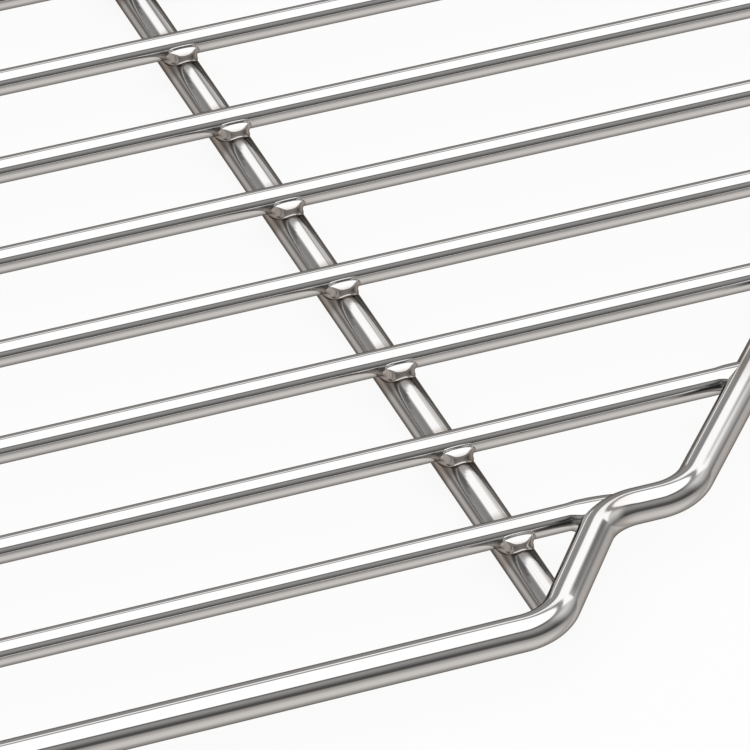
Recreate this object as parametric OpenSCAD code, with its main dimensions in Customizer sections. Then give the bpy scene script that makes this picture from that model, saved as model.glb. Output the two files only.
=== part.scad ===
// Welded wire rack for an oven: a bent rim rod, straight wires across it and two crossbars below.
// X runs along the wires, Y from the front to the back and Z up.
// The origin is the middle of the rack, level with the underside of the crossbars.

/* [Rods] */
// Diameter of the straight wires that food stands on
wire_d = 4.5; // [3.8:0.1:5.2]
// Diameter of the rim rod
rim_d = 6; // [5.4:0.1:6.6]
// Diameter of the two crossbars
bar_d = 6; // [5:0.1:7]

/* [Wires] */
// Number of straight wires inside the rim
wire_count = 14; // [11:1:18]
// Distance from one wire's axis to the next
wire_pitch = 25.4; // [22:0.2:30]

/* [Rim] */
// Width over the outside of the rim
rack_w = 454; // [410:1:520]
// Distance from the shoulder's axis back to the first wire's axis
shoulder_gap = 1; // [0.8:0.1:1.6]
// How far the first wire runs on along the shoulder
shoulder_lap = 3; // [2:0.1:4]
// Length of the shoulder between its two corners
shoulder_w = 14.4; // [12:0.2:18]
// Angle between the front rail and the short rise to the shoulder
nose_angle = 52; // [46:1:54]
// Angle between the shoulder and the long flank
flank_angle = 49; // [44:1:54]
// Bend radius at the rod's axis, at the nose and the shoulder
bend_r = 11; // [8:0.5:11]
// Bend radius where the flank meets the side rail
flank_r = 20; // [12:1:30]
// Bend radius of the back corners
corner_r = 20; // [12:1:22]

/* [Crossbars] */
// Distance between the axes of the two crossbars
bar_spread = 224; // [190:1:236]
// Distance from a crossbar's axis out to the nearest front bend
nose_inset = 3.6; // [2:0.1:5]
// How far a crossbar's end stops short of the rim's axis
bar_tuck = 1.9; // [1.4:0.1:2.2]

/* [Welds] */
// How far the tops of the wires lie below the top of the rim
top_step = 0.15; // [0.1:0.05:0.3]
// How far each weld sinks a wire into a crossbar
set_down = 0.8; // [0.4:0.1:1.2]
// How far a weld bead stands out past the side of its wire
bead_out = 2.6; // [2:0.1:3]
// How far a weld bead bulges past the side of its crossbar
bead_bulge = 0.15; // [0.1:0.05:0.3]
// Chamfer across the corners of a weld bead
bead_chamfer = 1.45; // [0.8:0.05:2]
// Slope of a bead's roof, which falls away from the wire
bead_pitch = 23; // [15:1:28]
// Height of the ridge of that roof, inside the wire, above the wire's axis
bead_ridge = 1.55; // [1.2:0.05:1.8]
// How far the walls of a bead lean in from its widest level to the ridge
bead_lean = 1.2; // [0.8:0.05:1.4]
// Length of the cone of weld metal at a wire's end
flare_len = 2.4; // [1.5:0.1:4]
// How much that cone adds to a wire's radius at the rim
flare_rise = 0.5; // [0.3:0.05:0.6]
// How far the cone's axis hangs below the wire's axis
flare_drop = 0.4; // [0.35:0.05:0.5]
// Length of the collar where the rim rod's own ends are welded together
collar_len = 1.8; // [1:0.1:3]
// How far that collar stands out from the rod
collar_rise = 0.25; // [0.1:0.05:0.5]

/* [Hidden] */
$fn = 48;
steel = [0.80, 0.79, 0.77];
wire_r = wire_d / 2;
rim_r = rim_d / 2;
bar_r = bar_d / 2;
bar_x = bar_spread / 2;

// Heights of the axes: the wires are sunk into the crossbars and all but level with the rim on top
bar_z = bar_r;
wire_z = bar_d - set_down + wire_r;
rim_z = wire_z + wire_r + top_step - rim_r;

// Rows of the wires, with the front and back rails one pitch outside them
back_y = (wire_count + 1) * wire_pitch / 2;
front_y = -back_y;
function wire_y(i) = front_y + i * wire_pitch;

// Corners of the rim rod's axis, on the right half, from the front to the back
side_x = rack_w / 2 - rim_r;
shoulder_y = wire_y(1) - shoulder_gap;
nose_x = bar_x - nose_inset;
shoulder_x = nose_x + (shoulder_y - front_y) / tan(nose_angle);
flank_x = shoulder_x + shoulder_w;
flank_y = shoulder_y + (side_x - flank_x) * tan(flank_angle);
right_half = [
    [nose_x, front_y, bend_r],
    [shoulder_x, shoulder_y, bend_r],
    [flank_x, shoulder_y, bend_r],
    [side_x, flank_y, flank_r],
    [side_x, back_y, corner_r]
];
last = len(right_half) - 1;
left_half = [for (i = [last:-1:0]) [-right_half[i].x, right_half[i].y, right_half[i].z]];
corners = concat(right_half, left_half);
corner_count = len(corners);

// Plan geometry at corner i of the rim: directions in and out, turn, and length lost to the bend
function corner(i) = corners[(i + corner_count) % corner_count];
function plan(i) = [corner(i).x, corner(i).y];
function heading(i) = let (d = plan(i + 1) - plan(i)) atan2(d.y, d.x);
function turn(i) = let (t = heading(i) - heading(i - 1)) t > 180 ? t - 360 : t < -180 ? t + 360 : t;
function setback(i) = corner(i).z * tan(abs(turn(i)) / 2);
function unit(angle) = [cos(angle), sin(angle)];

// Where wire i meets the rim: distance of the rim's axis from the middle, and the rim's slope there.
// The bend from the flank to the side ends at bend_end_y, and lean is how far it is turned in there.
bend_end_y = flank_y + flank_r * tan((90 - flank_angle) / 2);
function lean(i) = asin(max(0, min(1, (bend_end_y - wire_y(i)) / flank_r)));
function on_flank(i) = lean(i) > 90 - flank_angle;
function rim_x(i) =
    i == 1 ? shoulder_x + shoulder_lap
    : on_flank(i) ? flank_x + (wire_y(i) - shoulder_y) / tan(flank_angle)
    : side_x - flank_r * (1 - cos(lean(i)));
function rim_slope(i) = i == 1 ? nose_angle : on_flank(i) ? flank_angle : 90 - lean(i);
function flare_end(i) = (i == 1 ? shoulder_x : rim_x(i)) - rim_r / sin(rim_slope(i)) - flare_land;

// Ends of the crossbars, tucked under the rim
nose_rise = nose_inset * tan(nose_angle);
bar_front_y = front_y + nose_rise + bar_tuck;
bar_back_y = back_y - bar_tuck;

// The rod thickens a trace where it is bent, and each straight runs on into its bends
bend_swell = 0.02;
bend_lap = 0.3;

// The weld cone starts just inside the wire and ends in a short land beside the rim
flare_start_r = wire_r - flare_drop - 0.05;
flare_land = 0.2;

// Levels and half widths of a weld bead: its foot hides in the crossbar, its ridge in the wire
bead_reach = wire_r + bead_out;
bead_half_w = bar_r + bead_bulge;
foot_half_w = 0.83 * bar_r;
wide_z = bar_z + 0.95 * bar_r;
ridge_z = wire_z + bead_ridge;
wall_slope = bead_lean / (ridge_z - wide_z);
roof_slope = tan(bead_pitch);
eaves_y = (bead_reach - wall_slope * (ridge_z - wide_z)) / (1 - wall_slope * roof_slope);
eaves_z = ridge_z - roof_slope * eaves_y;
cut = 1;

function two_digits(i) = i < 10 ? str("0", i) : str(i);
function wire_name(i) = str("wire_", two_digits(i));

// Straight stretch of the rim from bend i to the next one, reaching a little into both
module rim_straight(i) {
    angle = heading(i);
    start = plan(i) + (setback(i) - bend_lap) * unit(angle);
    length = norm(plan(i + 1) - plan(i)) - setback(i) - setback(i + 1) + 2 * bend_lap;
    translate([start.x, start.y, rim_z])
        rotate([0, 90, angle])
        cylinder(h = length, r = rim_r);
}

// Bend i of the rim: a slice of a ring about a centre beside the corner, a trace thicker than the rod
module rim_bend(i) {
    side = turn(i) > 0 ? 1 : -1;
    start = plan(i) - setback(i) * unit(heading(i - 1));
    centre = start + corner(i).z * unit(heading(i - 1) + 90 * side);
    first = side > 0 ? heading(i - 1) - 90 : heading(i) + 90;
    translate([centre.x, centre.y, rim_z])
        rotate_extrude(angle = abs(turn(i)), start = first)
        translate([corner(i).z, 0])
        circle(r = rim_r + bend_swell);
}

// The whole rim as one closed rod, without its closing weld
module rim_rod() {
    for (i = [0:corner_count - 1]) {
        rim_straight(i);
        rim_bend(i);
    }
}

// Collar of metal where the rod's two ends were pressed together, in the middle of the back rail
module closing_collar() {
    translate([-collar_len / 2, back_y, rim_z])
        rotate([0, 90, 0])
        cylinder(h = collar_len, r = rim_r + collar_rise);
}

module rim() {
    color(steel) {
        rim_rod();
        closing_collar();
    }
}

// Plain rod of wire i, from one side of the rim to the other
module wire_rod(i) {
    translate([-rim_x(i), wire_y(i), wire_z])
        rotate([0, 90, 0])
        cylinder(h = 2 * rim_x(i), r = wire_r);
}

// Flare of weld metal round the right end of wire i: a cone, then a stub that runs on into the rim
module wire_flare(i) {
    flare_r = wire_r + flare_rise;
    translate([flare_end(i), wire_y(i), wire_z - flare_drop])
        rotate([0, 90, 0]) {
            translate([0, 0, -flare_len]) cylinder(h = flare_len, r1 = flare_start_r, r2 = flare_r);
            cylinder(h = rim_x(i) - flare_end(i), r = flare_r);
        }
}

// Wire i, shaped at both ends to the side of the rim
module wire(i) {
    color(steel)
    difference() {
        union() {
            wire_rod(i);
            wire_flare(i);
            mirror([1, 0, 0]) wire_flare(i);
        }
        rim_rod();
    }
}

// Weld bead squeezed out on both sides of wire i where it crosses a crossbar: an octagon in plan,
// cut to its outline from the side and to its outline from the front
module bead(i) {
    translate([0, wire_y(i), 0])
    intersection() {
        translate([0, 0, bar_z])
            linear_extrude(ridge_z - bar_z)
            bead_plan();
        rotate([90, 0, 90])
            linear_extrude(2 * (bead_half_w + cut), center = true)
            polygon([
                [-bead_reach, 0], [bead_reach, 0], [bead_reach, wide_z], [eaves_y, eaves_z],
                [0, ridge_z], [-eaves_y, eaves_z], [-bead_reach, wide_z]
            ]);
        rotate([90, 0, 0])
            linear_extrude(2 * (bead_reach + cut), center = true)
            polygon([
                [-foot_half_w, bar_z], [foot_half_w, bar_z], [bead_half_w, wide_z],
                [bead_half_w - bead_lean, ridge_z], [bead_lean - bead_half_w, ridge_z], [-bead_half_w, wide_z]
            ]);
    }
}

module bead_plan() {
    w = bead_half_w;
    r = bead_reach;
    c = bead_chamfer;
    polygon([
        [-w, -r + c], [-w + c, -r], [w - c, -r], [w, -r + c],
        [w, r - c], [w - c, r], [-w + c, r], [-w, r - c]
    ]);
}

// Crossbar at x, with a bead at each wire and a seat where the wire is sunk in
module crossbar(x) {
    color(steel)
    difference() {
        translate([x, 0, 0]) {
            translate([0, bar_front_y, bar_z])
                rotate([-90, 0, 0])
                cylinder(h = bar_back_y - bar_front_y, r = bar_r);
            for (i = [1:wire_count]) bead(i);
        }
        for (i = [1:wire_count]) wire_rod(i);
        rim_rod();
    }
}

rim();
crossbar(-bar_x);  // crossbar_left
crossbar(bar_x);  // crossbar_right
for (i = [1:wire_count]) {
    wire(i);
}
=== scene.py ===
import bpy
import numpy as np
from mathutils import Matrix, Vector


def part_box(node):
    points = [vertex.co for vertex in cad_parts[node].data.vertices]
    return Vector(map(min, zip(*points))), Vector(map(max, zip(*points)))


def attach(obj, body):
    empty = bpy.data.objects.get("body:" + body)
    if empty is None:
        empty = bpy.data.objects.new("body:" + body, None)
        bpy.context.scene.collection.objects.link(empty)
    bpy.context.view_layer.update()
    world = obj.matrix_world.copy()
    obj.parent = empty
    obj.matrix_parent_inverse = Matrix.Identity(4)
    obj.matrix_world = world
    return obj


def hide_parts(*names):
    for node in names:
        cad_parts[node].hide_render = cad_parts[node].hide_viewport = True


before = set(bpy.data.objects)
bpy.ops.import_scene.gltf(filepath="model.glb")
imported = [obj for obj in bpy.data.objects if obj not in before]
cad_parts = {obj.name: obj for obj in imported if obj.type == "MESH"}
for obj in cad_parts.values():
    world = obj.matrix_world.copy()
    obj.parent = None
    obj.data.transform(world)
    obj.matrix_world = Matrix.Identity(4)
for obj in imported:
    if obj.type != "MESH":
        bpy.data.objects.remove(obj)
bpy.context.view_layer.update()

# The rim
# One rod of stainless steel, bent cold into a closed frame and polished. Its two ends are pressed
# together and welded in the middle of the back rail, which leaves a low collar there.
MM = 0.001
rim_r = 3 * MM
bend_swell = 0.02 * MM
shoulder_gap = 1 * MM
shoulder_w = 14.4 * MM
nose_inset = 3.6 * MM
nose_angle = np.radians(52)
flank_angle = np.radians(49)
bend_r = 11 * MM
flank_r = 20 * MM
corner_r = 20 * MM
collar_len = 1.8 * MM
collar_rise = 0.25 * MM
rim_around = 56
wire_count = sum(node.startswith("wire_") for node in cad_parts)


def middle(node):
    """Middle of a CAD node's box."""
    low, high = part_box(node)
    return (low + high) / 2


def wire_name(i):
    """Name of wire i, counted from the front."""
    return f"wire_{i:02d}"


first_wire_y = middle(wire_name(1)).y
wire_pitch = (middle(wire_name(wire_count)).y - first_wire_y) / (wire_count - 1)
wire_z = middle("wire_07").z
front_y = first_wire_y - wire_pitch
back_y = first_wire_y + wire_count * wire_pitch
bar_x = middle("crossbar_right").x
rim_z = middle("rim").z
side_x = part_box("rim")[1].x - rim_r - bend_swell
shoulder_y = first_wire_y - shoulder_gap
nose_x = bar_x - nose_inset
shoulder_x = nose_x + (shoulder_y - front_y) / np.tan(nose_angle)
flank_x = shoulder_x + shoulder_w
flank_y = shoulder_y + (side_x - flank_x) * np.tan(flank_angle)


def bent_rod(corners, straight_step, bend_step):
    """Axis of a rod bent round the corners (x, y, bend radius) into a closed loop.

    Each corner gives up radius * tan(turn / 2) of both its straights to an arc of that radius.
    Returns the points in the plane and the heading at each of them.
    """
    place, radius = corners[:, :2], corners[:, 2]
    ahead = np.roll(place, -1, axis=0) - place
    heading = np.arctan2(ahead[:, 1], ahead[:, 0])
    before = np.roll(heading, 1)
    turn = (heading - before + np.pi) % (2 * np.pi) - np.pi
    setback = radius * np.tan(np.abs(turn) / 2)
    points, headings = [], []
    for i in range(len(corners)):
        follow = (i + 1) % len(corners)
        side = np.sign(turn[i])
        count = int(np.ceil(radius[i] * abs(turn[i]) / bend_step))
        angle = before[i] + turn[i] * np.arange(count) / count
        start = place[i] - setback[i] * np.array([np.cos(before[i]), np.sin(before[i])])
        centre = start + side * radius[i] * np.array([-np.sin(before[i]), np.cos(before[i])])
        outward = side * np.stack([np.sin(angle), -np.cos(angle)], axis=1)
        points.append(centre + radius[i] * outward)
        headings.append(angle)
        along = np.array([np.cos(heading[i]), np.sin(heading[i])])
        length = np.linalg.norm(ahead[i]) - setback[i] - setback[follow]
        count = int(np.ceil(length / straight_step))
        share = np.arange(count) / count
        points.append(place[i] + along * (setback[i] + length * share)[:, None])
        headings.append(np.full(count, heading[i]))
    return np.concatenate(points), np.concatenate(headings)


def rod_skin(path, sideways, radius, around, lift=0.0):
    """Round skin carried along a path.

    point(s, a) = path(s) + radius(s, a) * (cos a * sideways(s) + sin a * up) + lift(s) * up
    """
    a = np.linspace(0, 2 * np.pi, around, endpoint=False)
    up = np.array([0.0, 0.0, 1.0])
    ring = np.cos(a)[None, :, None] * sideways[:, None, :] + np.sin(a)[None, :, None] * up
    radius = np.broadcast_to(radius, (len(path), around))
    return path[:, None, :] + radius[..., None] * ring + np.reshape(lift, (-1, 1, 1)) * up


def skin_faces(rows, around, closed):
    """Faces of a grid of rows by points around: four-sided, with a fan on each end if it is open."""
    i = np.arange(rows if closed else rows - 1)[:, None]
    j = np.arange(around)[None, :]
    here, after = i * around, (i + 1) % rows * around
    follow = (j + 1) % around
    quads = np.stack([here + j, after + j, after + follow, here + follow], axis=-1).reshape(-1, 4)
    if closed:
        return quads.tolist()
    ring = np.arange(around)
    follow = (ring + 1) % around
    first_pole, last_pole = rows * around, rows * around + 1
    last = (rows - 1) * around
    first_fan = np.stack([ring, follow, np.full(around, first_pole)], axis=1)
    last_fan = np.stack([last + follow, last + ring, np.full(around, last_pole)], axis=1)
    return quads.tolist() + first_fan.tolist() + last_fan.tolist()


def weld_warmth(points, welds, reach, edge, bright_above):
    """1 at a weld, fading with the distance to the nearest one as exp(-(distance / reach)^edge).

    The colour is gone 0.4 mm above the height bright_above, so the tops stay untinted.
    """
    distance = np.min(np.linalg.norm(points[:, None, :] - welds[None, :, :], axis=2), axis=1)
    wiped = np.clip((points[:, 2] - bright_above) / (0.4 * MM), 0, 1)
    return np.exp(-((distance / reach) ** edge)) * (1 - wiped)


def rod_piece(name, skins, closed, drawn, welds, reach, edge=2, bright_above=0.02):
    """Mesh of one or more skins, with two attributes on its points.

    "drawn" is the place along the rod and across it, and "warmth" the nearness of a weld.
    """
    points, faces = [], []
    for grid in skins:
        start = sum(len(part) for part in points)
        rows, around = grid.shape[:2]
        faces += [[start + corner for corner in face] for face in skin_faces(rows, around, closed)]
        points.append(grid.reshape(-1, 3))
        if not closed:
            points.append(np.stack([grid[0].mean(axis=0), grid[-1].mean(axis=0)]))
    points = np.concatenate(points)
    mesh = bpy.data.meshes.new(name)
    mesh.from_pydata(points.tolist(), [], faces)
    mesh.shade_smooth()
    along = mesh.attributes.new("drawn", "FLOAT_VECTOR", "POINT")
    along.data.foreach_set("vector", np.ravel(drawn(points)).astype(np.float32))
    warmth = mesh.attributes.new("warmth", "FLOAT", "POINT")
    warmth.data.foreach_set("value", weld_warmth(points, welds, reach, edge, bright_above).astype(np.float32))
    piece = bpy.data.objects.new(name, mesh)
    bpy.context.scene.collection.objects.link(piece)
    return piece


class Wired:
    """A socket in a node tree. Sums, products and powers of such sockets add Math nodes."""

    def __init__(self, tree, socket=None):
        self.tree = tree
        self.socket = socket

    def node(self, kind, settings=None, values=None):
        """Adds a node: its settings first, then the values or links of its sockets."""
        made = self.tree.nodes.new(kind)
        for name, value in (settings or {}).items():
            if name == "stops":
                for k, (place, shade) in enumerate(value):
                    stops = made.color_ramp.elements
                    stop = stops[k] if k < 2 else stops.new(place)
                    stop.position = place
                    stop.color = (*shade, 1) if isinstance(shade, tuple) else (shade, shade, shade, 1)
            else:
                setattr(made, name, value)
        for name, value in (values or {}).items():
            if isinstance(value, Wired):
                self.tree.links.new(value.socket, made.inputs[name])
            else:
                made.inputs[name].default_value = value
        return Wired(self.tree, made.outputs[0] if made.outputs else None)

    def __getitem__(self, name):
        return Wired(self.tree, self.socket.node.outputs[name])

    def math(self, operation, first, second):
        """Adds one Math node on two sockets or numbers."""
        return self.node("ShaderNodeMath", {"operation": operation}, {0: first, 1: second})

    def __add__(self, other):
        return self.math("ADD", self, other)

    def __sub__(self, other):
        return self.math("SUBTRACT", self, other)

    def __rsub__(self, other):
        return self.math("SUBTRACT", other, self)

    def __mul__(self, other):
        return self.math("MULTIPLY", self, other)

    __radd__ = __add__
    __rmul__ = __mul__


def node_tree(owner):
    """Empty node tree of a material or world, ready for wiring."""
    owner.use_nodes = True
    owner.node_tree.nodes.clear()
    return Wired(owner.node_tree)


def drawn_steel(name, bright, warm, roughness, line_depth):
    """Polished rod: fine lines along it from the drawing die, duller and browner at its welds."""
    material = bpy.data.materials.new(name)
    tree = node_tree(material)
    drawn = tree.node("ShaderNodeAttribute", {"attribute_name": "drawn"})["Vector"]
    warmth = tree.node("ShaderNodeAttribute", {"attribute_name": "warmth"})["Fac"]
    stretched = tree.node(
        "ShaderNodeMapping", {"vector_type": "POINT"}, {"Vector": drawn, "Scale": (20, 2600, 2600)}
    )
    lines = tree.node(
        "ShaderNodeTexNoise", {}, {"Vector": stretched, "Scale": 1.0, "Detail": 3.0, "Roughness": 0.6}
    )["Fac"]
    cloudy = tree.node(
        "ShaderNodeMapping", {"vector_type": "POINT"}, {"Vector": drawn, "Scale": (160, 300, 300)}
    )
    clouds = tree.node(
        "ShaderNodeTexNoise", {}, {"Vector": cloudy, "Scale": 1.0, "Detail": 2.0}
    )["Fac"]
    tint = warmth * (0.35 + 0.9 * clouds)
    colour = tree.node(
        "ShaderNodeMix", {"data_type": "RGBA"}, {0: tint, 6: (*bright, 1), 7: (*warm, 1)}
    )[2]
    # Painted shade and painted dark reflection: the steel turns near black where this attribute is set.
    painted_dark = tree.node("ShaderNodeAttribute", {"attribute_name": "painted_dark"})["Fac"]
    colour = tree.node(
        "ShaderNodeMix", {"data_type": "RGBA"}, {0: painted_dark, 6: colour, 7: (0.02, 0.02, 0.02, 1)}
    )[2]
    rough = roughness + 0.04 * (lines - 0.5) + 0.04 * (clouds - 0.5) + 0.06 * warmth
    bump = tree.node(
        "ShaderNodeBump", {}, {"Height": lines, "Strength": 0.5, "Distance": line_depth}
    )
    shader = tree.node(
        "ShaderNodeBsdfPrincipled",
        {},
        {
            "Base Color": colour, "Metallic": 1.0, "Roughness": rough, "Normal": bump,
            "Specular Tint": (0.30, 0.28, 0.26, 1),
        },
    )
    tree.node("ShaderNodeOutputMaterial", {}, {"Surface": shader})
    return material


right_corners = np.array([
    [nose_x, front_y, bend_r],
    [shoulder_x, shoulder_y, bend_r],
    [flank_x, shoulder_y, bend_r],
    [side_x, flank_y, flank_r],
    [side_x, back_y, corner_r],
])
left_corners = right_corners[::-1] * [-1, 1, 1]
rim_axis, rim_heading = bent_rod(np.concatenate([right_corners, left_corners]), 2.5 * MM, 0.5 * MM)
seam = np.argmin(np.abs(rim_axis[:, 0]) + np.abs(rim_axis[:, 1] - back_y))
rim_axis = np.roll(rim_axis, -seam, axis=0)
rim_heading = np.roll(rim_heading, -seam)
collar_rows = np.linspace(-2 * collar_len, 2 * collar_len, 33)
collar_axis = np.stack([-collar_rows, np.full(33, back_y)], axis=1)
far = np.abs(rim_axis[:, 0]) > 2.2 * collar_len
far |= rim_axis[:, 1] < 0
rim_axis = np.concatenate([rim_axis[far], collar_axis])
rim_heading = np.concatenate([rim_heading[far], np.full(33, np.pi)])
steps = np.linalg.norm(np.roll(rim_axis, -1, axis=0) - rim_axis, axis=1)
rim_length = np.concatenate([[0], np.cumsum(steps)[:-1]])
from_seam = np.where(rim_axis[:, 1] > 0, rim_axis[:, 0], 1)
rim_path = np.column_stack([rim_axis, np.full(len(rim_axis), rim_z)])
rim_side = np.column_stack([np.sin(rim_heading), -np.cos(rim_heading), np.zeros(len(rim_axis))])
rim_radius = rim_r + collar_rise * np.exp(-((2 * from_seam / collar_len) ** 4))
rim_skin = rod_skin(rim_path, rim_side, rim_radius[:, None], rim_around)


def right_side_x(y):
    """Where the axis of the rim runs on the right, at each y between its shoulder and its back."""
    run = (rim_axis[:, 0] > flank_x) & (rim_axis[:, 1] > shoulder_y) & (rim_axis[:, 1] < back_y)
    order = np.argsort(rim_axis[run, 1])
    return np.interp(y, rim_axis[run, 1][order], rim_axis[run, 0][order])


def wire_end(i):
    """Where wire i ends on the right: on the shoulder for the first one, else at the rim's axis."""
    return shoulder_x + 3 * MM if i == 1 else float(right_side_x(first_wire_y + (i - 1) * wire_pitch))


def rim_drawn(points):
    """Place along the rod and across it: length of rod, distance outwards and height."""
    rows = np.repeat(rim_length, rim_around)
    offset = points - np.repeat(rim_path, rim_around, axis=0)
    outwards = np.sum(offset * np.repeat(rim_side, rim_around, axis=0), axis=1)
    return np.column_stack([rows, outwards, offset[:, 2]])


wire_rows = first_wire_y + wire_pitch * np.arange(wire_count)
wire_ends = np.array([wire_end(i) for i in range(1, wire_count + 1)])
rim_welds = np.concatenate([
    np.column_stack([side * (wire_ends - 2.5 * MM), wire_rows, np.full(wire_count, wire_z)])
    for side in (-1, 1)
])
rim_welds = np.concatenate([rim_welds, [[0, back_y, rim_z]]])
rim = rod_piece("rim_rod", [rim_skin], True, rim_drawn, rim_welds, 3.5 * MM)
rim.data.materials.append(
    drawn_steel("rim_polish", (0.66, 0.655, 0.65), (0.42, 0.36, 0.31), 0.06, 0.0015 * MM)
)
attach(rim, "root")
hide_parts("rim")

# The wires
# Straight wires of bright drawn stainless steel, with food resting on them. Each is butted against
# the inner side of the rim and welded there, which squeezes a small fillet of metal round its end.
wire_r = 2.25 * MM
wire_around = 48
fillet_rise = 1.0 * MM
fillet_len = 2.4 * MM
# The wedge is a painted dark reflection on the front of each wire's ends.
wedge_len = 11 * MM
wedge_depth = 0.92
shoulder_merge = 7 * MM
wire_steel = drawn_steel("wire_polish", (0.66, 0.655, 0.65), (0.40, 0.35, 0.31), 0.06, 0.0015 * MM)


def wire_drawn(points):
    """Place along the wire and across it. Their places from front to back keep the rows unlike."""
    return np.column_stack([points[:, 0], points[:, 1], points[:, 2] - wire_z])


def wire_skin(i):
    """Skin of wire i: radius(x, a) = wire_r + fillet_rise * full(a) * rise(x).

    rise is a smooth step from 0 to 1 over the last fillet_len before the side of the rim, and
    full(a) is greatest in front and below and small on top. The first wire leans into the shoulder.
    """
    end = wire_ends[i - 1]
    slope = 90 if i > 4 else np.degrees(flank_angle)
    slope = np.degrees(nose_angle) if i == 1 else slope
    reach = shoulder_x if i == 1 else end
    face = reach - rim_r / np.sin(np.radians(slope))
    near = np.concatenate([np.linspace(face - 8 * MM, face, 41), np.linspace(face, end, 9)[1:]])
    run = np.linspace(0, face - 8 * MM, 61)[:-1]
    half = np.concatenate([run, near])
    x = np.concatenate([-half[::-1], half[1:]])
    a = np.linspace(0, 2 * np.pi, wire_around, endpoint=False)
    full = (0.5 - 0.42 * np.sin(a)) * (1 + 0.35 * np.cos(a))
    near_rim = np.clip(1 - (face - np.abs(x)) / fillet_len, 0, 1)
    rise = near_rim**2 * (3 - 2 * near_rim)
    radius = wire_r + fillet_rise * rise[:, None] * full[None, :]
    lean = np.clip(1 - (end - np.abs(x)) / shoulder_merge, 0, 1) ** 2 if i == 1 else np.zeros(len(x))
    radius = radius - 0.2 * MM * lean[:, None]
    y = first_wire_y + (i - 1) * wire_pitch - 0.5 * MM * lean
    path = np.column_stack([x, y, np.full(len(x), wire_z)])
    sideways = np.tile([0.0, -1.0, 0.0], (len(x), 1))
    return rod_skin(path, sideways, radius, wire_around)


def end_painted_reflection(points, i):
    """Painted dark reflection on wire i at its ends: a wedge on the front side, growing towards the rim.

    At a share u of wedge_len it spans 22 u degrees to both sides of 5 + 20 u degrees above level.
    """
    slope = np.degrees(flank_angle) if 1 < i < 5 else np.degrees(nose_angle) if i == 1 else 90
    reach = shoulder_x if i == 1 else wire_ends[i - 1]
    tip = reach - rim_r / np.sin(np.radians(slope)) - 1.2 * MM
    u = 1 - (tip - np.abs(points[:, 0])) / wedge_len
    angle = np.degrees(np.arctan2(points[:, 2] - wire_z, wire_rows[i - 1] - points[:, 1]))
    inside = 22 * u - np.abs(angle - 5 - 20 * u)
    return wedge_depth * np.clip(inside / 6, 0, 1) * np.clip((1 - u) * 8, 0, 1) * (u > 0)


for i in range(1, wire_count + 1):
    y = wire_rows[i - 1]
    spots = [-wire_ends[i - 1] + 2.5 * MM, -bar_x, bar_x, wire_ends[i - 1] - 2.5 * MM]
    welds = np.array([[x, y, wire_z - wire_r] for x in spots])
    wire = rod_piece(f"rod_{i:02d}", [wire_skin(i)], False, wire_drawn, welds, 3.2 * MM)
    skin_points = np.empty(len(wire.data.vertices) * 3)
    wire.data.vertices.foreach_get("co", skin_points)
    # Painted dark reflection: the dark wedge on the front of the wire's ends.
    painted_dark = wire.data.attributes.new("painted_dark", "FLOAT", "POINT")
    painted_dark.data.foreach_set("value", end_painted_reflection(skin_points.reshape(-1, 3), i).astype(np.float32))
    wire.data.materials.append(wire_steel)
    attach(wire, "root")
    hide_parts(wire_name(i))

# The crossbars
# Two rods of the rim's thickness run below the wires from front to back, tucked under the rim.
# Each wire is pressed into them and spot welded, which squeezes out a faceted bead on both sides.
bar_r = 3 * MM
bar_z = bar_r
bar_around = 56
bead_rings = MM * np.array([
    [[2.6, 0, 7.2], [2.5, 1.5, 7.2], [1.9, 1.6, 7.5], [1.5, 1.6, 7.60], [1.00, 1.6, 7.65], [0, 1.6, 7.7]],
    [[3.4, 0, 6.6], [3.1, 1.8, 7.0], [2.5, 2.10, 7.90], [1.8, 2.12, 8.02], [1.05, 2.12, 8.08], [0, 2.12, 8.1]],
    [[3.7, 0, 6.2], [3.3, 1.9, 6.8], [2.6, 2.26, 7.72], [1.85, 2.26, 7.88], [1.05, 2.26, 7.95], [0, 2.26, 7.97]],
    [[3.9, 0, 5.8], [3.5, 1.9, 6.5], [2.4, 2.38, 7.38], [1.7, 2.40, 7.50], [1.00, 2.40, 7.58], [0, 2.40, 7.61]],
    [[4.2, 0, 5.35], [3.7, 1.93, 6.2], [2.45, 2.52, 7.28], [1.75, 3.08, 7.14], [1.05, 3.58, 7.00], [0, 3.62, 7.0]],
    [[3.7, 0, 4.9], [2.6, 2.0, 5.6], [2.45, 2.60, 5.60], [2.1, 3.30, 5.65], [1.55, 4.05, 5.88], [0, 4.20, 6.28]],
    [[3.3, 0, 4.4], [2.75, 1.85, 4.85], [2.55, 2.70, 5.12], [2.24, 3.48, 5.34], [1.7, 4.22, 5.70], [0, 4.48, 6.2]],
    [[2.95, 0, 3.9], [2.7, 1.8, 4.25], [2.48, 2.60, 4.62], [2.18, 3.42, 4.98], [1.64, 4.16, 5.44], [0, 4.43, 5.97]],
    [[2.3, 0, 3.8], [2.1, 1.6, 4.0], [1.8, 2.3, 4.3], [1.6, 3.0, 4.60], [1.30, 3.7, 5.00], [0, 4.0, 5.4]],
])
bead_row_steps = 5
bead_turn_steps = 3
# Painted dark reflection of the wire and bead on the bar's top, in front of each bead's foot.
reflection_patch_reach = 6.2 * MM
reflection_patch_arch = 1.6 / MM
reflection_patch_depth = 0.55
bar_steel = drawn_steel("crossbar_polish", (0.66, 0.655, 0.65), (0.40, 0.355, 0.325), 0.07, 0.0015 * MM)


def between(rings, count):
    """Puts count equal steps between one ring and the next, along the first axis."""
    knots = np.arange(len(rings))
    place = np.linspace(0, len(rings) - 1, count * (len(rings) - 1) + 1)
    low = np.minimum(place.astype(int), len(rings) - 2)
    share = (place - knots[low])[:, None, None]
    return rings[low] * (1 - share) + rings[low + 1] * share


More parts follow.
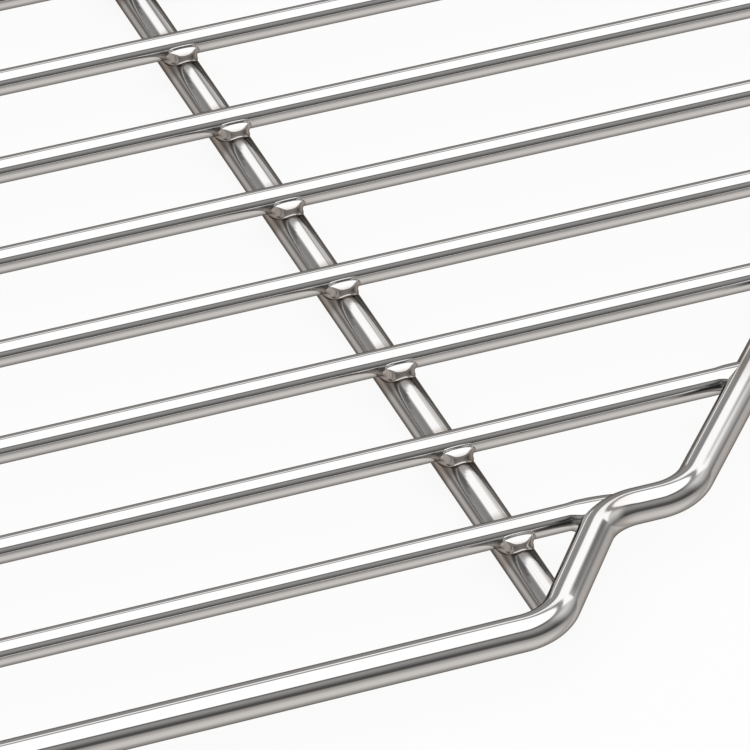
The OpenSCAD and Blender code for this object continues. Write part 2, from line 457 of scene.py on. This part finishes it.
def bead_skin(x, y):
    """Weld bead at (x, y): a loft through rings, from inside the wire down to inside the crossbar.

    Each ring is a quarter from the side to the front, drawn out to a full turn by its mirror
    images. Every point is then averaged with its neighbours, which rounds the edges a little.
    """
    rows = between(bead_rings, bead_row_steps)
    quarter = between(rows.transpose(1, 0, 2), bead_turn_steps).transpose(1, 0, 2)
    grid = np.concatenate([
        quarter[:, :-1],
        (quarter * [-1, 1, 1])[:, :0:-1],
        (quarter * [-1, -1, 1])[:, :-1],
        (quarter * [1, -1, 1])[:, :0:-1],
    ], axis=1)
    grid[1:-1] = (grid[:-2] + 2 * grid[1:-1] + grid[2:]) / 4
    grid = (np.roll(grid, 1, axis=1) + 2 * grid + np.roll(grid, -1, axis=1)) / 4
    return grid + [x, y, 0]


def painted_shade_and_reflection(bar_skin, beads):
    """Painted shade in the gap below each bead's foot, and a painted dark reflection of the wire
    and bead on top of the bar in front of the foot.

    That patch ends in an arch, at its reach plus its arch factor times x^2 from the middle of the wire.
    """
    rows, around = beads[0].shape[:2]
    row = np.arange(rows) / bead_row_steps
    gap = np.clip(1 - np.abs(row - 7.0) / 1.0, 0, 1) ** 0.5
    one_bead = np.concatenate([np.repeat(gap, around), [0, 0]])
    points = bar_skin.reshape(-1, 3)
    x = np.abs(points[:, 0]) - bar_x
    in_front = wire_rows[None, :] - points[:, 1][:, None]
    in_front = np.min(np.where(in_front < 0, np.inf, in_front), axis=1)
    inside = reflection_patch_reach + reflection_patch_arch * x**2 - in_front
    patch = np.clip(0.5 + inside / (0.5 * MM), 0, 1) * np.clip((points[:, 2] - 5.0 * MM) / (0.5 * MM), 0, 1)
    return np.concatenate([reflection_patch_depth * patch, [0, 0]] + [one_bead] * len(beads))


def bar_drawn(points):
    """Place along the bar and across it."""
    return np.column_stack([points[:, 1], np.abs(points[:, 0]) - bar_x, points[:, 2] - bar_z])


for side, node in ((-1, "crossbar_left"), (1, "crossbar_right")):
    low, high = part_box(node)
    y = np.linspace(low.y, high.y, 700)
    path = np.column_stack([np.full(len(y), side * bar_x), y, np.full(len(y), bar_z)])
    sideways = np.tile([1.0, 0.0, 0.0], (len(y), 1))
    bar_skin = rod_skin(path, sideways, bar_r, bar_around)
    beads = [bead_skin(side * bar_x, row) for row in wire_rows]
    welds = np.column_stack([np.full(wire_count, side * bar_x), wire_rows, np.full(wire_count, 2 * bar_r)])
    # Heat tint round each bead; on the bar's top in front of the foot, out to a sharp edge 6.2 mm away, it is also
    # a painted brown reflection of the wire and bead.
    bar = rod_piece(f"{node}_rod", [bar_skin] + beads, False, bar_drawn, welds, 6.2 * MM, 12, 6.9 * MM)
    # Painted shade under each bead's foot and a painted dark reflection of the wire and bead on the bar's top.
    painted_dark = bar.data.attributes.new("painted_dark", "FLOAT", "POINT")
    painted_dark.data.foreach_set("value", painted_shade_and_reflection(bar_skin, beads).astype(np.float32))
    bar.data.materials.append(bar_steel)
    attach(bar, "root")
    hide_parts(node)

# The floor and the light
# A plain pale floor under a soft white studio sky. The sky that polished steel mirrors is bright
# above, grey towards its edges and dark along the horizon in front, as in a studio with a wide lamp.
floor_half = 12.0
floor_lift = 0.9
front_shades = [
    (-1.0, 0.50), (-0.95, 0.55), (-0.90, 0.70), (-0.83, 0.82), (-0.74, 0.86), (-0.64, 0.86),
    (-0.54, 0.82), (-0.42, 0.74), (-0.31, 0.60), (-0.19, 0.50), (-0.08, 0.40), (-0.01, 0.13),
    (0.14, 0.09), (0.24, 0.14), (0.35, 0.25), (0.45, 0.34), (0.54, 0.40), (0.64, 0.40),
    (0.70, 0.20), (0.76, 0.13),
]
front_left_shades = [
    (-1.0, 0.50), (-0.60, 0.70), (-0.30, 0.70), (-0.10, 0.60), (0.10, 0.60), (0.40, 0.55),
    (0.64, 0.42), (0.70, 0.25), (0.76, 0.20),
]
left_shades = [
    (-1.0, 0.50), (-0.64, 0.52), (-0.56, 0.60), (-0.45, 0.76), (-0.32, 0.70), (-0.20, 0.52),
    (-0.12, 0.27), (-0.05, 0.20), (0.02, 0.24), (0.10, 0.44), (0.22, 0.40), (0.35, 0.38),
    (0.48, 0.33), (0.66, 0.33), (0.72, 0.15), (0.76, 0.13),
]
back_shades = [
    (-1.0, 0.50), (-0.64, 0.48), (-0.25, 0.48), (-0.05, 0.39),
    (0.07, 0.43), (0.18, 0.45),
    (0.28, 0.48), (0.37, 0.38), (0.45, 0.38), (0.60, 0.45), (0.70, 0.42), (0.76, 0.42),
]
right_shades = [
    (-1.0, 0.50), (-0.40, 0.48), (-0.20, 0.36), (0.02, 0.30), (0.09, 0.80), (0.16, 1.15),
    (0.22, 1.10), (0.32, 0.76), (0.42, 1.12), (0.51, 1.38), (0.60, 1.38), (0.70, 0.42), (0.76, 0.42),
]
far_right_shades = [
    (-1.0, 0.50), (-0.60, 0.90), (-0.45, 0.85), (-0.34, 0.80), (-0.10, 0.66), (0.00, 0.53),
    (0.12, 0.28), (0.22, 0.19), (0.31, 0.28), (0.39, 0.30), (0.454, 0.20), (0.515, 0.17),
    (0.56, 0.33), (0.62, 0.60), (0.70, 0.45), (0.76, 0.35),
]
side_shades = [
    (-1.0, 0.50), (-0.53, 0.58), (-0.26, 0.57), (-0.17, 0.43), (0.00, 0.27), (0.10, 0.33),
    (0.17, 0.44), (0.24, 0.59), (0.31, 0.64), (0.375, 0.70), (0.44, 0.86), (0.60, 0.90),
    (0.70, 0.45), (0.76, 0.35),
]
side_turn = np.radians((78.5, 81.5))
side_slant = np.radians(20)
quarters = [
    (front_left_shades, -142, -124), (left_shades, -95, -60), (back_shades, -26, -12), (right_shades, 27, 35),
    (far_right_shades, 42, 50),
]
front_turn = np.radians((95, 125))
lamp_edge = (0.745, 0.785)
lamp_glow = 1.6
panel_low = [
    (-5, 0.50), (8, 0.50), (14, 0.54), (20, 0.535), (24, 0.53), (32, 0.50), (38, 0.50), (44, 0.57),
    (50, 0.60), (57, 0.59), (62, 0.56), (66, 0.508), (70, 0.45), (73, 0.405), (76, 0.34),
]
panel_low_soft = 0.022
panel_high = (0.71, 0.675)
panel_notch = 0.05
panel_notch_turn = np.radians((15, 19, 26, 31))
panel_left = np.radians((-21, -9))
panel_right = np.radians((80, 70))
panel_glow = 1.5
slit_low = (0.03, 0.06)
slit_high = (0.17, 0.14)
slit_turn = np.radians((-9, -7, 4, 7))
slit_glow = 1.6
room_shade = (1.0, 0.982, 0.968)
floor_shade = (1.0, 0.955, 0.92)
floor_blend = (-0.05, 0.10)
floor_mesh = bpy.data.meshes.new("floor")
corner = floor_half
floor_mesh.from_pydata(
    [(-corner, -corner, 0), (corner, -corner, 0), (corner, corner, 0), (-corner, corner, 0)],
    [],
    [(0, 1, 2, 3)],
)
floor = bpy.data.objects.new("floor", floor_mesh)
bpy.context.scene.collection.objects.link(floor)
floor_paint = bpy.data.materials.new("floor_paint")
paint = node_tree(floor_paint)
floor_ray = paint.node("ShaderNodeLightPath")
plain = paint.node("ShaderNodeBsdfDiffuse", {}, {"Color": (0.9, 0.89, 0.88, 1)})
lifted = paint.node("ShaderNodeEmission", {}, {"Color": (1, 1, 1, 1), "Strength": 1.0})
surface = paint.node(
    "ShaderNodeMixShader", {}, {0: floor_lift * floor_ray["Is Camera Ray"], 1: plain, 2: lifted}
)
paint.node("ShaderNodeOutputMaterial", {}, {"Surface": surface})
floor_mesh.materials.append(floor_paint)
floor.visible_glossy = False

world = bpy.data.worlds.new("studio")
bpy.context.scene.world = world
sky = node_tree(world)
direction = sky.node("ShaderNodeTexCoord")["Generated"]
split = sky.node("ShaderNodeSeparateXYZ", {}, {"Vector": direction})
rise = split["Z"]
bearing = sky.math("ARCTAN2", split["X"], split["Y"])


def step(value, start, end):
    """0 before start, 1 past end and smooth between them; falling where end is the lower one."""
    low, high = min(start, end), max(start, end)
    first, last = (0.0, 1.0) if start < end else (1.0, 0.0)
    return sky.node(
        "ShaderNodeMapRange",
        {"interpolation_type": "SMOOTHSTEP"},
        {"Value": value, "From Min": low, "From Max": high, "To Min": first, "To Max": last},
    )


def room(shades):
    """Grey of the room by the height of the direction, from (sine of elevation, grey) pairs."""
    stops = [((place + 1) / 2, shade) for place, shade in shades]
    ramp = sky.node("ShaderNodeValToRGB", {"stops": stops}, {0: 0.5 + 0.5 * rise})
    return sky.node("ShaderNodeRGBToBW", {}, {0: ramp})


grey = room(front_shades)
for shades, start, end in quarters:
    share = step(bearing, np.radians(start), np.radians(end))
    grey = grey + share * (room(shades) - grey)
share = step(bearing + side_slant * rise, *side_turn)
grey = grey + share * (room(side_shades) - grey)
grey = grey + step(bearing, *front_turn) * (room(front_shades) - grey)
lamp = step(rise, *lamp_edge)
low_stops = [(0.5 + turn / 180, height) for turn, height in panel_low]
low_line = sky.node("ShaderNodeValToRGB", {"stops": low_stops}, {0: 0.5 + bearing * (1 / np.pi)})
low_line = sky.node("ShaderNodeRGBToBW", {}, {0: low_line})
notch = step(bearing, *panel_notch_turn[:2]) * step(bearing, *panel_notch_turn[:1:-1])
panel = step(rise - low_line, -panel_low_soft, panel_low_soft)
panel = panel * step(rise + panel_notch * notch, *panel_high)
panel = panel * step(bearing, *panel_left) * step(bearing, *panel_right)
slit = step(bearing, *slit_turn[:2]) * step(bearing, *slit_turn[:1:-1])
slit = slit * step(rise, *slit_low) * step(rise, *slit_high)
grey = grey + slit * (slit_glow - grey)
mirrored = grey * (1 - lamp) * (1 - panel) + lamp_glow * lamp + panel_glow * panel
tint = sky.node(
    "ShaderNodeMix",
    {"data_type": "RGBA"},
    {0: step(rise, *floor_blend), 6: (*floor_shade, 1), 7: (*room_shade, 1)},
)[2]
tint = sky.node(
    "ShaderNodeMix",
    {"data_type": "RGBA"},
    {0: panel + lamp, 6: tint, 7: (1, 1, 1, 1)},
)[2]
ray = sky.node("ShaderNodeLightPath")
white = sky.node("ShaderNodeBackground", {}, {"Color": (1, 1, 1, 1), "Strength": 1.0})
studio = sky.node("ShaderNodeBackground", {}, {"Color": tint, "Strength": mirrored})
shown = sky.node("ShaderNodeMixShader", {}, {0: ray["Is Glossy Ray"], 1: white, 2: studio})
sky.node("ShaderNodeOutputWorld", {}, {"Surface": shown})

# The camera
# A long lens from well away, over the front right corner, level and unshifted.
camera_turn = np.radians(-21.69)
camera_rise = np.radians(35.65)
camera_place = Vector((-0.29074, -1.11769, 0.77936))
lens = bpy.data.cameras.new("camera")
lens.sensor_width = 36
lens.lens = 387.2
lens.clip_start = 0.05
lens.clip_end = 100
camera = bpy.data.objects.new("camera", lens)
bpy.context.scene.collection.objects.link(camera)
backwards = Vector((
    np.sin(camera_turn) * np.cos(camera_rise),
    -np.cos(camera_turn) * np.cos(camera_rise),
    np.sin(camera_rise),
))
camera.location = camera_place
camera.rotation_euler = backwards.to_track_quat("Z", "Y").to_euler()
bpy.context.scene.camera = camera
bpy.context.scene.view_settings.view_transform = "Standard"
